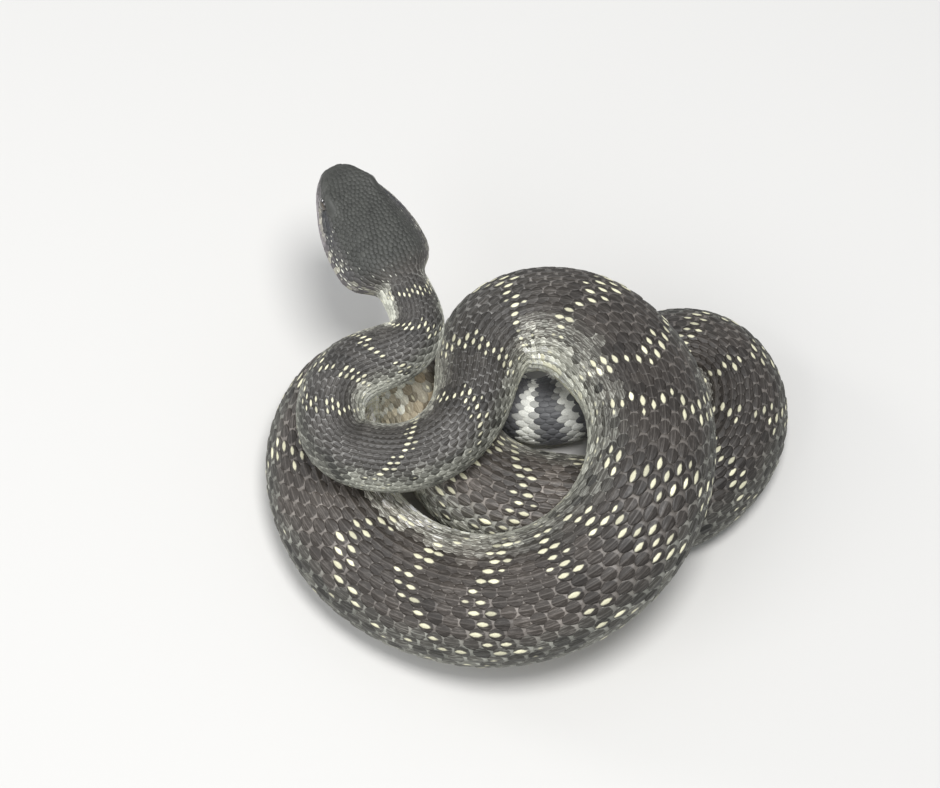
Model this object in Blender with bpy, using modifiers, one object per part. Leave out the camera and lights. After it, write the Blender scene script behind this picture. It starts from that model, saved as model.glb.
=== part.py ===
"""Southern Pacific rattlesnake at rest, coiled twice over itself with its head held up.

A still, life-size animal. It is one long body, lofted along one route from the snout to the
rattle and parted square across the route into the head, the neck, lengths of body, the tail
and the rattle. Lengths are in millimetres until a mesh is made, and then in metres.
"""
import math

import bmesh
import bpy
from mathutils import Matrix, Vector

MM = 0.001
NAME = "southern_pacific_rattlesnake"

# Gap between pieces that meet
GAP = 0.3

# Middle of the footprint, which becomes the origin on the floor
FOOTPRINT_MIDDLE = (0.151, -2.355)

# Route of the body's middle line, snout first: x to the right, y away, z up.
# A smooth curve runs close inside these points.
ROUTE = [
    # head, straight and tilted up
    (-71.6, 80.8, 83.5), (-63.1, 67.7, 80), (-54.9, 55.2, 77), (-47.7, 43.2, 73.5),
    # neck, down and round to the left
    (-42.5, 34, 71.5), (-39, 25, 70), (-43, 17, 68.5), (-53, 13.5, 66.5), (-64, 10.5, 64),
    # small loop that lies on the outer coil
    (-71, 3, 60), (-72, -7, 55), (-68, -14, 51), (-59, -17, 48), (-44, -18, 47),
    (-29, -12, 50), (-20, 3, 49), (-19, 18.5, 45),
    # arch at the back
    (-14.5, 34.5, 42), (2.5, 42.8, 41), (20, 37, 45), (31, 26, 47), (40, 13, 48),
    # right side, riding over the lower coil
    (44, -3, 50), (44, -19, 53), (40, -35, 52), (32, -48, 47), (21, -57, 41),
    # front of the outer coil, down to the floor
    (8, -62.5, 34), (-7, -64.5, 28), (-22, -62.5, 22), (-37, -57, 18), (-51, -49, 16),
    # left side of the outer coil
    (-63, -38, 16), (-71.5, -24, 16), (-76.5, -8, 16), (-77, 8, 16),
    # tight turn under the small loop
    (-69, 25, 16), (-51, 30, 16), (-37, 19, 16), (-31, 3, 16), (-22, -12, 15),
    # inner coil, under the outer one
    (-8, -21, 15), (10, -24, 14), (27, -25, 14), (44, -23, 14), (59, -17, 14),
    # right coil
    (71, -6, 14), (78.5, 8, 14), (79, 25, 14), (69, 39.5, 13), (52, 41.5, 13),
    # under the arch
    (37, 33, 12), (24, 24, 12), (10, 16, 11), (-5, 18, 10), (-12, 31, 9),
    # tail, hooked back behind the arch
    (-13, 45, 8), (-6, 55.5, 7), (6, 60.5, 6), (19, 60.5, 5),
]

# Half-width and half-height of the body at distances from the snout
GIRTH = [
    (44, 9.9, 8.6), (50, 9.2, 8.5), (66, 9.6, 9.2), (82, 11.3, 10.5), (100, 11.9, 11.1),
    (160, 12.6, 11.6), (190, 14.5, 13.3), (212, 17.3, 15.5), (235, 19.2, 17.2),
    (260, 21.3, 18.1), (320, 22.8, 18.5), (370, 24.0, 19.0), (450, 23.4, 19.0),
    (485, 21.2, 19.0), (515, 17.2, 19.0), (535, 16.4, 19.0), (560, 18.0, 18.9),
    (600, 20.5, 17.6), (660, 19.8, 17.0), (720, 18.0, 16.2), (770, 15.8, 14.2),
    (796, 14.0, 12.6), (826, 10.6, 9.9), (852, 8.0, 7.8), (880, 5.8, 6.0),
]

# The belly is flat at this share of the half-height below the middle line
BELLY = 0.86

# Lengths along the route
HEAD_END = 49.0
NECK_END = 96.0
VENT = 826.0
TAIL_END = 880.0
BODY_LENGTHS = 14
RING_SPACING = 6.6
BODY_SIDES = 24

# The head is rolled a little, with its left side up, and the neck unrolls it
HEAD_ROLL = math.radians(7.5)
UNROLLED = (36.0, 78.0)

# Points of the body lower than this lie on the floor
FLOOR_REACH = 0.06

# Head: half-widths and heights at distances behind the snout's tip.
# brow is the edge between crown and cheek, ridge the height just inside it, which stands
# up over the eye, lip the side of the mouth and jaw the lower jaw.
# (distance, brow, lip, jaw half-widths; crown, ridge, brow, mouth, chin heights)
HEAD_STATIONS = [
    (0.5, 4.3, 4.6, 3.4, 2.4, 2.2, 1.5, -2.6, -4.0),
    (2.2, 6.0, 6.7, 5.2, 4.0, 3.8, 3.0, -2.9, -5.0),
    (4.6, 7.4, 8.8, 7.2, 4.7, 4.8, 4.1, -3.1, -5.7),
    (6.8, 8.4, 10.2, 8.6, 4.9, 5.2, 4.5, -3.2, -6.1),
    (8.8, 10.0, 11.4, 9.7, 5.0, 6.3, 5.0, -3.4, -6.5),
    (12.0, 10.7, 13.0, 11.2, 5.3, 6.7, 5.3, -3.6, -6.9),
    (15.0, 10.2, 14.6, 12.8, 5.6, 6.2, 4.7, -3.8, -7.2),
    (19.5, 10.4, 16.4, 14.6, 6.2, 6.0, 4.4, -4.1, -7.7),
    (26.0, 11.2, 18.0, 16.2, 7.1, 6.5, 4.5, -4.5, -8.3),
    (32.0, 11.9, 18.5, 16.7, 7.7, 7.0, 4.8, -4.8, -8.8),
    (37.5, 11.9, 18.5, 16.6, 8.0, 7.3, 5.1, -4.9, -9.0),
    (42.5, 10.8, 16.9, 15.0, 8.1, 7.4, 5.3, -4.6, -8.8),
    (46.5, 8.6, 12.7, 11.0, 8.3, 7.5, 5.4, -4.0, -8.2),
    (50.0, 7.0, 9.3, 8.2, 8.4, 7.6, 5.5, -3.6, -7.6),
    (53.5, 7.0, 9.3, 8.2, 8.5, 7.6, 5.5, -3.6, -7.4),
]
MOUTH_END = 33.0
MOUTH_DEPTH = 1.3
MOUTH_OPENING = 0.5
# Behind the mouth's corner only a faint crease is left
CREASE_DEPTH = 0.15
# Height of the fullest part of the lip over the mouth, and of the jaw under it
LIP_RISE = 1.6
JAW_DROP = 1.8

EYE_RADIUS = 3.2
EYE_AT = 11.0
EYE_OUT = 8.6
EYE_UP = 1.7
ORBIT_LENGTH = 3.6
# Nostril and heat pit: distance behind the snout, out from the middle line and up from it
NOSTRIL = (2.9, 6.5, 0.9)
PIT = (6.6, 9.2, -0.5)
NOSTRIL_RADIUS = 0.7
PIT_RADIUS = 0.95

RATTLE_SEGMENTS = 8
RATTLE_PITCH = 3.1
RATTLE_HALF_WIDTH = 3.5
RATTLE_HALF_HEIGHT = 5.2
RATTLE_SIDES = 14

COLOURS = {
    "dark_scales": (0.085, 0.078, 0.072),
    "head_scales": (0.085, 0.084, 0.078),
    "eye": (0.05, 0.042, 0.03),
    "rattle": (0.30, 0.24, 0.16),
}


def clear_scene():
    for obj in list(bpy.data.objects):
        bpy.data.objects.remove(obj, do_unlink=True)


def make_collection(name):
    collection = bpy.data.collections.new(name)
    bpy.context.scene.collection.children.link(collection)
    return collection


def make_material(name, roughness):
    material = bpy.data.materials.new(name)
    material.use_nodes = True
    shader = material.node_tree.nodes["Principled BSDF"]
    shader.inputs["Base Color"].default_value = (*COLOURS[name], 1.0)
    shader.inputs["Roughness"].default_value = roughness
    shader.inputs["Metallic"].default_value = 0.0
    return material


def spline_point(index, t):
    """A point of the uniform cubic B-spline, t from 0 to 1 after the control point."""
    last = len(ROUTE) - 1

    def control(i):
        if i < 0:
            return 2 * Vector(ROUTE[0]) - Vector(ROUTE[1])
        if i > last:
            return 2 * Vector(ROUTE[last]) - Vector(ROUTE[last - 1])
        return Vector(ROUTE[i])

    weights = (
        (1 - t) ** 3 / 6,
        (3 * t ** 3 - 6 * t ** 2 + 4) / 6,
        (-3 * t ** 3 + 3 * t ** 2 + 3 * t + 1) / 6,
        t ** 3 / 6,
    )
    point = Vector((0, 0, 0))
    for offset, weight in enumerate(weights):
        point += weight * control(index - 1 + offset)
    return point


def measure_route(steps=16):
    """Points along the route with their distance from the snout."""
    points = [spline_point(i, k / steps) for i in range(len(ROUTE) - 1) for k in range(steps)]
    points.append(spline_point(len(ROUTE) - 2, 1.0))
    distances = [0.0]
    for before, after in zip(points, points[1:]):
        distances.append(distances[-1] + (after - before).length)
    return points, distances


ROUTE_POINTS, ROUTE_DISTANCES = measure_route()


def slope_at(table, row, column):
    """Slope of a table's smooth curve at one of its rows."""
    before = table[max(row - 1, 0)]
    after = table[min(row + 1, len(table) - 1)]
    return (after[column] - before[column]) / (after[0] - before[0])


def smooth_between(table, s, column):
    """A value from a table of stations, on a smooth curve through its rows."""
    if s <= table[0][0]:
        return table[0][column]
    for row in range(len(table) - 1):
        low, high = table[row], table[row + 1]
        if s <= high[0]:
            length = high[0] - low[0]
            t = (s - low[0]) / length
            start = (1 + 2 * t) * (1 - t) ** 2 * low[column]
            end = t * t * (3 - 2 * t) * high[column]
            rise = t * (1 - t) ** 2 * length * slope_at(table, row, column)
            fall = t * t * (1 - t) * length * slope_at(table, row + 1, column)
            return start + end + rise - fall
    return table[-1][column]


def route_point(s):
    """The middle line at a distance from the snout, run straight on past its ends."""
    if s <= 0:
        direction = (ROUTE_POINTS[1] - ROUTE_POINTS[0]).normalized()
        return ROUTE_POINTS[0] + direction * s
    total = ROUTE_DISTANCES[-1]
    if s >= total:
        direction = (ROUTE_POINTS[-1] - ROUTE_POINTS[-2]).normalized()
        return ROUTE_POINTS[-1] + direction * (s - total)
    low, high = 0, len(ROUTE_DISTANCES) - 1
    while high - low > 1:
        middle = (low + high) // 2
        if ROUTE_DISTANCES[middle] <= s:
            low = middle
        else:
            high = middle
    t = (s - ROUTE_DISTANCES[low]) / (ROUTE_DISTANCES[high] - ROUTE_DISTANCES[low])
    return ROUTE_POINTS[low].lerp(ROUTE_POINTS[high], t)


def body_centre(s):
    """The middle line, lifted where the belly lies on the floor."""
    centre = route_point(s)
    if s > HEAD_END:
        centre.z = max(centre.z, BELLY * smooth_between(GIRTH, s, 2))
    return centre


def roll_at(s):
    start, end = UNROLLED
    t = min(max((s - start) / (end - start), 0.0), 1.0)
    return HEAD_ROLL * (1 - t * t * (3 - 2 * t))


def frame_at(s):
    """Middle point, left side and upward side of the body at a distance from the snout."""
    reach = 1.5
    along = (body_centre(s + reach) - body_centre(s - reach)).normalized()
    level = along.cross(Vector((0, 0, 1))).normalized()
    plumb = level.cross(along)
    roll = roll_at(s)
    side = level * math.cos(roll) + plumb * math.sin(roll)
    up = plumb * math.cos(roll) - level * math.sin(roll)
    return body_centre(s), side, up


def on_floor(point):
    """No point lies under the floor, and the belly is flat on it."""
    if point.z < FLOOR_REACH:
        point.z = 0.0
    return point


def body_ring(s, sides=BODY_SIDES):
    centre, side, up = frame_at(s)
    half_width = smooth_between(GIRTH, s, 1)
    half_height = smooth_between(GIRTH, s, 2)
    ring = []
    for k in range(sides):
        angle = 2 * math.pi * (k + 0.5) / sides
        across = half_width * math.sin(angle)
        height = half_height * max(math.cos(angle), -BELLY)
        ring.append(on_floor(centre + side * across + up * height))
    return ring


def loft(name, rings, material, collection):
    """One closed object from rings of points, with a flat cap at each end."""
    mesh = bmesh.new()
    loops = [[mesh.verts.new(point * MM) for point in ring] for ring in rings]
    count = len(loops[0])
    for low, high in zip(loops, loops[1:]):
        for k in range(count):
            after = (k + 1) % count
            mesh.faces.new((low[k], high[k], high[after], low[after]))
    mesh.faces.new(loops[0])
    mesh.faces.new(list(reversed(loops[-1])))
    bmesh.ops.recalc_face_normals(mesh, faces=mesh.faces)
    data = bpy.data.meshes.new(name)
    mesh.to_mesh(data)
    mesh.free()
    data.shade_smooth()
    data.materials.append(material)
    obj = bpy.data.objects.new(name, data)
    collection.objects.link(obj)
    return obj


def spread(start, end, spacing):
    count = max(2, round((end - start) / spacing))
    return [start + (end - start) * k / count for k in range(count + 1)]


def build_length(name, start, end, material, collection):
    """A length of the body between two square cuts."""
    stations = spread(start + GAP / 2, end - GAP / 2, RING_SPACING)
    return loft(name, [body_ring(s) for s in stations], material, collection)


def head_half_profile(station):
    """Left half of the head's outline across, from the crown round to the chin."""
    s, brow, lip, jaw, crown, ridge, brow_height, mouth, chin = station
    groove = MOUTH_DEPTH if s < MOUTH_END else CREASE_DEPTH
    groove = min(groove, 0.3 * lip)
    orbit = math.exp(-(((s - EYE_AT) / ORBIT_LENGTH) ** 2))
    cheek = brow + (0.62 - 0.42 * orbit) * (lip - brow)
    return [
        (0.0, crown),
        (0.45 * brow, crown + 0.1 * (ridge - crown)),
        (0.82 * brow, ridge),
        (brow, brow_height),
        (cheek, 0.5 * (brow_height + mouth) + 0.8),
        (lip, mouth + LIP_RISE),
        (lip - 0.15, mouth + MOUTH_OPENING),
        (lip - groove, mouth),
        (0.5 * (lip + jaw), mouth - MOUTH_OPENING),
        (jaw, mouth - JAW_DROP),
        (0.72 * jaw, chin + 0.25 * (mouth - chin)),
        (0.36 * jaw, chin),
        (0.0, chin),
    ]


def head_ring(station):
    centre, side, up = frame_at(station[0])
    left = head_half_profile(station)
    right = [(-across, height) for across, height in reversed(left[1:-1])]
    return [centre + side * across + up * height for across, height in left + right]


def hide_cutter(obj, cutters):
    for collection in list(obj.users_collection):
        collection.objects.unlink(obj)
    cutters.objects.link(obj)
    obj.hide_render = True
    obj.display_type = "WIRE"


def head_place(s, across, up_by):
    """A place in the head: behind the snout, to the left and above the middle line."""
    centre, side, up = frame_at(s)
    return (centre + side * across + up * up_by) * MM


def ball(name, place, radius, segments=16, rings=10):
    bpy.ops.mesh.primitive_uv_sphere_add(
        segments=segments, ring_count=rings, radius=radius * MM, location=place
    )
    obj = bpy.context.object
    obj.name = name
    obj.data.name = name
    obj.data.shade_smooth()
    return obj


def cut(obj, cutter):
    boolean = obj.modifiers.new(cutter.name, "BOOLEAN")
    boolean.operation = "DIFFERENCE"
    boolean.object = cutter
    boolean.solver = "EXACT"


def build_neck_cutter(cutters):
    """A block behind the head's square cut."""
    centre, side, up = frame_at(HEAD_END - GAP / 2)
    along = up.cross(side)
    size = 40.0
    bpy.ops.mesh.primitive_cube_add(size=size * MM)
    block = bpy.context.object
    block.name = "neck_cutter"
    turn = Matrix((side, along, up)).transposed().to_4x4()
    block.matrix_world = Matrix.Translation((centre + along * size / 2) * MM) @ turn
    hide_cutter(block, cutters)
    return block


def build_head(material, collection, cutters):
    head = loft("head", [head_ring(row) for row in HEAD_STATIONS], material, collection)
    smooth = head.modifiers.new("smooth", "SUBSURF")
    smooth.levels = 1
    smooth.render_levels = 1
    cut(head, build_neck_cutter(cutters))
    for side_name, sign in (("left", 1), ("right", -1)):
        hollows = {
            "eye_socket_": (EYE_AT, EYE_OUT, EYE_UP, EYE_RADIUS + GAP),
            "nostril_": (*NOSTRIL, NOSTRIL_RADIUS),
            "heat_pit_": (*PIT, PIT_RADIUS),
        }
        for prefix, (s, out, up_by, radius) in hollows.items():
            hollow = ball(prefix + side_name, head_place(s, sign * out, up_by), radius)
            hide_cutter(hollow, cutters)
            cut(head, hollow)
    return head


def build_eye(side_name, sign, material, collection):
    eye = ball("eye_" + side_name, head_place(EYE_AT, sign * EYE_OUT, EYE_UP), EYE_RADIUS)
    for old in list(eye.users_collection):
        old.objects.unlink(eye)
    collection.objects.link(eye)
    eye.data.materials.append(material)
    return eye


def rattle_ring(s, swell, taper):
    """Across the rattle: taller than wide, with a groove along each side."""
    centre, side, up = frame_at(s)
    ring = []
    for k in range(RATTLE_SIDES):
        angle = 2 * math.pi * (k + 0.5) / RATTLE_SIDES
        groove = 1 - 0.22 * math.exp(-((math.cos(angle) / 0.3) ** 2))
        across = RATTLE_HALF_WIDTH * math.sin(angle) * groove * swell * taper
        height = RATTLE_HALF_HEIGHT * math.cos(angle) * swell * taper
        ring.append(on_floor(centre + side * across + up * height))
    return ring


def build_rattle(material, collection):
    """A string of loose horny rings, each a collar with a groove before the next."""
    start = TAIL_END + GAP / 2
    profile = ((0.0, 0.80), (0.22, 0.98), (0.5, 1.0), (0.82, 0.94))
    rings = []
    for segment in range(RATTLE_SEGMENTS):
        taper = 1.0 - 0.022 * segment
        for share, swell in profile:
            s = start + (segment + share) * RATTLE_PITCH
            rings.append(rattle_ring(s, swell, taper))
    end = start + RATTLE_SEGMENTS * RATTLE_PITCH
    rings.append(rattle_ring(end, 0.55, taper))
    return loft("rattle", rings, material, collection)


def main():
    clear_scene()
    parts = make_collection(NAME)
    cutters = make_collection("cutters")
    dark = make_material("dark_scales", 0.55)
    head_skin = make_material("head_scales", 0.5)
    eye_skin = make_material("eye", 0.15)
    horn = make_material("rattle", 0.5)

    pieces = [build_head(head_skin, parts, cutters)]
    pieces.append(build_eye("left", 1, eye_skin, parts))
    pieces.append(build_eye("right", -1, eye_skin, parts))
    pieces.append(build_length("neck", HEAD_END, NECK_END, dark, parts))
    step = (VENT - NECK_END) / BODY_LENGTHS
    for k in range(BODY_LENGTHS):
        start = NECK_END + k * step
        name = "body_%02d" % (k + 1)
        pieces.append(build_length(name, start, start + step, dark, parts))
    pieces.append(build_length("tail", VENT, TAIL_END, dark, parts))
    pieces.append(build_rattle(horn, parts))

    origin = bpy.data.objects.new("origin", None)
    parts.objects.link(origin)
    for obj in pieces + list(cutters.objects):
        obj.parent = origin
    origin.location = (-FOOTPRINT_MIDDLE[0] * MM, -FOOTPRINT_MIDDLE[1] * MM, 0.0)


main()
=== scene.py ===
"""Southern Pacific rattlesnake, coiled at rest with its head held up: the looks.

One skin runs from the snout to the rattle. Overlapping keeled scales, plates on the head and
scutes on the belly are solid meshes laid on it, and take their colours from the same markings.
Lengths are in millimetres until a mesh is made, and then in metres.
"""
import math

import bpy
import numpy as np
from mathutils import Matrix, Vector


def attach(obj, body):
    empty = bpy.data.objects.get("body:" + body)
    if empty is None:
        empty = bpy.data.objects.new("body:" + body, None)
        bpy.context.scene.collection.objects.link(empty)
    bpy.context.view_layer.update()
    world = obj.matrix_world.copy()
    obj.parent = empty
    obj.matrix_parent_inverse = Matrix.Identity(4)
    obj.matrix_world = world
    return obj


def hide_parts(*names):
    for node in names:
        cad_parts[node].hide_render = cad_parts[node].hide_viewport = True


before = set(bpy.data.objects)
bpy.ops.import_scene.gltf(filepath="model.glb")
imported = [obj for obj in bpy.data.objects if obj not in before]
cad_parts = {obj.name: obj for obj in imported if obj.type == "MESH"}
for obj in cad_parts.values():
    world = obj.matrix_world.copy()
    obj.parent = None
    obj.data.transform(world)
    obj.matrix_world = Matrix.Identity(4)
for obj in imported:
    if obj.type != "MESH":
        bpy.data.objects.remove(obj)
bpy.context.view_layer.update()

MM = 0.001
rng = np.random.default_rng(7)

# Shape of the animal, as its solids have it
FOOTPRINT_MIDDLE = (0.151, -2.355)
ROUTE = [
    # head, straight and tilted up
    (-71.6, 80.8, 83.5), (-63.1, 67.7, 80), (-54.9, 55.2, 77), (-47.7, 43.2, 73.5),
    # neck, down and round to the left
    (-42.5, 34, 71.5), (-39, 25, 70), (-43, 17, 68.5), (-53, 13.5, 66.5), (-64, 10.5, 64),
    # small loop that lies on the outer coil
    (-71, 3, 60), (-72, -7, 55), (-68, -14, 51), (-59, -17, 48), (-44, -18, 47),
    (-29, -12, 50), (-20, 3, 49), (-19, 18.5, 45),
    # arch at the back
    (-14.5, 34.5, 42), (2.5, 42.8, 41), (20, 37, 45), (31, 26, 47), (40, 13, 48),
    # right side, riding over the lower coil
    (44, -3, 50), (44, -19, 53), (40, -35, 52), (32, -48, 47), (21, -57, 41),
    # front of the outer coil, down to the floor
    (8, -62.5, 34), (-7, -64.5, 28), (-22, -62.5, 22), (-37, -57, 18), (-51, -49, 16),
    # left side of the outer coil
    (-63, -38, 16), (-71.5, -24, 16), (-76.5, -8, 16), (-77, 8, 16),
    # tight turn under the small loop
    (-69, 25, 16), (-51, 30, 16), (-37, 19, 16), (-31, 3, 16), (-22, -12, 15),
    # inner coil, under the outer one
    (-8, -21, 15), (10, -24, 14), (27, -25, 14), (44, -23, 14), (59, -17, 14),
    # right coil
    (71, -6, 14), (78.5, 8, 14), (79, 25, 14), (69, 39.5, 13), (52, 41.5, 13),
    # under the arch
    (37, 33, 12), (24, 24, 12), (10, 16, 11), (-5, 18, 10), (-12, 31, 9),
    # tail, hooked back behind the arch
    (-13, 45, 8), (-6, 55.5, 7), (6, 60.5, 6), (19, 60.5, 5),
]
# Distance from the snout, half width, half height
GIRTH = np.array([
    (44, 9.9, 8.6), (50, 9.2, 8.5), (66, 9.6, 9.2), (82, 11.3, 10.5), (100, 11.9, 11.1),
    (160, 12.6, 11.6), (190, 14.5, 13.3), (212, 17.3, 15.5), (235, 19.2, 17.2),
    (260, 21.3, 18.1), (320, 22.8, 18.5), (370, 24.0, 19.0), (450, 23.4, 19.0),
    (485, 21.2, 19.0), (515, 17.2, 19.0), (535, 16.4, 19.0), (560, 18.0, 18.9),
    (600, 20.5, 17.6), (660, 19.8, 17.0), (720, 18.0, 16.2), (770, 15.8, 14.2),
    (796, 14.0, 12.6), (826, 10.6, 9.9), (852, 8.0, 7.8), (880, 5.8, 6.0),
])
BELLY = 0.86
HEAD_END = 49.0
# The head is rolled a little, with its left side up, and the neck unrolls it
HEAD_ROLL = math.radians(7.5)
UNROLLED = (36.0, 78.0)
TAIL_END = 880.0
# Distance from the snout, half widths at the brow, lip and jaw, and heights of the crown,
# ridge, brow, mouth and chin
HEAD_STATIONS = np.array([
    (0.5, 4.3, 4.6, 3.4, 2.4, 2.2, 1.5, -2.6, -4.0),
    (2.2, 6.0, 6.7, 5.2, 4.0, 3.8, 3.0, -2.9, -5.0),
    (4.6, 7.4, 8.8, 7.2, 4.7, 4.8, 4.1, -3.1, -5.7),
    (6.8, 8.4, 10.2, 8.6, 4.9, 5.2, 4.5, -3.2, -6.1),
    (8.8, 10.0, 11.4, 9.7, 5.0, 6.3, 5.0, -3.4, -6.5),
    (12.0, 10.7, 13.0, 11.2, 5.3, 6.7, 5.3, -3.6, -6.9),
    (15.0, 10.2, 14.6, 12.8, 5.6, 6.2, 4.7, -3.8, -7.2),
    (19.5, 10.4, 16.4, 14.6, 6.2, 6.0, 4.4, -4.1, -7.7),
    (26.0, 11.2, 18.0, 16.2, 7.1, 6.5, 4.5, -4.5, -8.3),
    (32.0, 11.9, 18.5, 16.7, 7.7, 7.0, 4.8, -4.8, -8.8),
    (37.5, 11.9, 18.5, 16.6, 8.0, 7.3, 5.1, -4.9, -9.0),
    (42.5, 10.8, 16.9, 15.0, 8.1, 7.4, 5.3, -4.6, -8.8),
    (46.5, 8.6, 12.7, 11.0, 8.3, 7.5, 5.4, -4.0, -8.2),
    (50.0, 7.0, 9.3, 8.2, 8.4, 7.6, 5.5, -3.6, -7.6),
    (53.5, 7.0, 9.3, 8.2, 8.5, 7.6, 5.5, -3.6, -7.4),
])
MOUTH_END = 33.0
MOUTH_DEPTH = 1.3
MOUTH_OPENING = 0.5
EYE_RADIUS = 3.2
EYE_AT = 11.0
EYE_OUT = 8.6
EYE_UP = 1.7
ORBIT_LENGTH = 3.6
NOSTRIL = (2.9, 6.5, 0.9)
PIT = (6.6, 9.2, -0.5)
RATTLE_SEGMENTS = 8
RATTLE_PITCH = 3.1
RATTLE_HALF_WIDTH = 3.5
RATTLE_HALF_HEIGHT = 5.2

# Camera, as the photograph looks down on the animal. The point of the floor from which the
# route is measured is seen at FLOOR_PIXEL
CAMERA_TILT = math.radians(66.0)
LENS = 120.0
SENSOR = 36.0
IMAGE = (940.0, 788.0)
MM_PER_PIXEL = 0.375
FLOOR_PIXEL = (527.0, 465.0)


# Curves
def smoothstep(low, high, x):
    t = np.clip((x - low) / (high - low), 0, 1)
    return t * t * (3 - 2 * t)


def within(stretch, x):
    """1 along the middle of a stretch, 0 before and after it, and smooth between."""
    start, full, fading, end = stretch
    return smoothstep(start, full, x) * (1 - smoothstep(fading, end, x))


def bell(x, middle, width):
    return np.exp(-(((x - middle) / width) ** 2))


def unit(vectors):
    return vectors / np.maximum(np.linalg.norm(vectors, axis=-1, keepdims=True), 1e-9)


def wrapped(t):
    """The same place round the body, from -1 to 1."""
    return (t + 1) % 2 - 1


def running_total(steps):
    return np.concatenate([[0], np.cumsum(steps)])


def columns_at(x, known_x, table):
    """Each column of a table at any place along it."""
    return np.stack([np.interp(x, known_x, column) for column in table.T], axis=-1)


def bspline(net, steps):
    """Points along a uniform cubic B-spline, with one more control point to guide each end."""
    t = (np.arange(steps) / steps)[:, None]
    weights = (
        (1 - t) ** 3, 3 * t ** 3 - 6 * t ** 2 + 4, -3 * t ** 3 + 3 * t ** 2 + 3 * t + 1, t ** 3,
    )
    rows = [sum(w / 6 * net[i + k] for k, w in enumerate(weights)) for i in range(len(net) - 3)]
    return np.vstack(rows + [(net[-3:-2] + 4 * net[-2:-1] + net[-1:]) / 6])


def bspline_to_ends(points, steps):
    """Points along the B-spline that starts and ends at a control point."""
    points = np.asarray(points, float)
    before, after = 2 * points[0] - points[1], 2 * points[-1] - points[-2]
    return bspline(np.vstack([before, points, after]), steps)


def smooth_table(table, s, column):
    """A value from a table of stations, on a smooth curve through its rows."""
    x, y = table[:, 0], table[:, column]
    s = np.clip(s, x[0], x[-1])
    number = np.arange(len(x))
    before, after = np.maximum(number - 1, 0), np.minimum(number + 1, len(x) - 1)
    slopes = (y[after] - y[before]) / (x[after] - x[before])
    row = np.clip(np.searchsorted(x, s, side="right") - 1, 0, len(x) - 2)
    after = row + 1
    length = x[after] - x[row]
    t = (s - x[row]) / length
    ends = (1 + 2 * t) * (1 - t) ** 2 * y[row] + t * t * (3 - 2 * t) * y[after]
    return ends + t * (1 - t) ** 2 * length * slopes[row] - t * t * (1 - t) * length * slopes[after]


def gaussian_smooth(values, sigma):
    reach = int(3 * sigma)
    kernel = np.exp(-0.5 * (np.arange(-reach, reach + 1) / sigma) ** 2)
    return np.convolve(np.pad(values, reach, mode="edge"), kernel / kernel.sum(), "valid")


# Surface of the animal, on a fine grid.
# s is the distance from the snout and t runs round the body by its arc: 0 on the back,
# 1 and -1 on the middle of the belly, positive on the animal's left.
S_STEP = 0.25
RUN_ON = 40.0
NOSE_START = 0.5
NOSE_SPAN = 2.0
NOSE_DEPTH = 1.1
S_FIRST = NOSE_START - NOSE_SPAN
S_GRID = np.arange(S_FIRST, TAIL_END + 0.01, S_STEP)
BLEND_START = 44.0
BLEND_END = 53.0
T_HALF = 96
U_LAST = 12
U_STEPS = 12
FLOOR_CLEAR = 0.35
TAIL_ROUNDING = 3.0


def middle_line():
    """Distances and points of the middle line, and its directions along, sideways and up."""
    points = bspline_to_ends(ROUTE, 64)
    steps = np.linalg.norm(np.diff(points, axis=0), axis=1)
    distance = running_total(steps)
    s = np.arange(-RUN_ON, TAIL_END + RUN_ON, S_STEP)
    line = columns_at(s, distance, points)
    before, after = s < 0, s > distance[-1]
    line[before] = points[0] + (points[1] - points[0]) / steps[0] * s[before, None]
    run_on = (points[-1] - points[-2]) / steps[-1]
    line[after] = points[-1] + run_on * (s[after] - distance[-1])[:, None]
    lowest = BELLY * smooth_table(GIRTH, s, 2)
    height = np.where(s > HEAD_END, np.maximum(line[:, 2], lowest), line[:, 2])
    line[:, 2] = np.where(s > HEAD_END + 4, gaussian_smooth(height, 3.0 / S_STEP), height)
    span = int(1.5 / S_STEP)
    along = unit(line[2 * span:] - line[:-2 * span])
    s, line = s[span:-span], line[span:-span]
    level = unit(np.cross(along, (0, 0, 1)))
    plumb = np.cross(level, along)
    roll = HEAD_ROLL * (1 - smoothstep(*UNROLLED, s))[:, None]
    side = level * np.cos(roll) + plumb * np.sin(roll)
    up = plumb * np.cos(roll) - level * np.sin(roll)
    return s, line, along, side, up


LINE_S, LINE, LINE_ALONG, LINE_SIDE, LINE_UP = middle_line()


def along_line(values, s):
    return columns_at(s, LINE_S, values)


def body_frame(s, side_by, up_by):
    """A place beside and above the middle line."""
    return along_line(LINE, s) + along_line(LINE_SIDE, s) * side_by + along_line(LINE_UP, s) * up_by


def by_arc(half):
    """Half of a section with its points evenly spaced, and the arc to each point it had."""
    arc = running_total(np.hypot(*np.diff(half, axis=0).T))
    return columns_at(np.linspace(0, arc[-1], T_HALF + 1), arc, half), arc


def body_half(s):
    """Half of the body's section, from the back round to the flattened belly."""
    angle = np.linspace(0, math.pi, 181)
    depth = np.cos(angle)
    soft = 0.03
    low = 0.5 * (depth - BELLY + np.sqrt((depth + BELLY) ** 2 + soft ** 2))
    half_width, half_height = (smooth_table(GIRTH, s, column) for column in (1, 2))
    return np.stack([half_width * np.sin(angle), half_height * low], axis=1)


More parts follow.
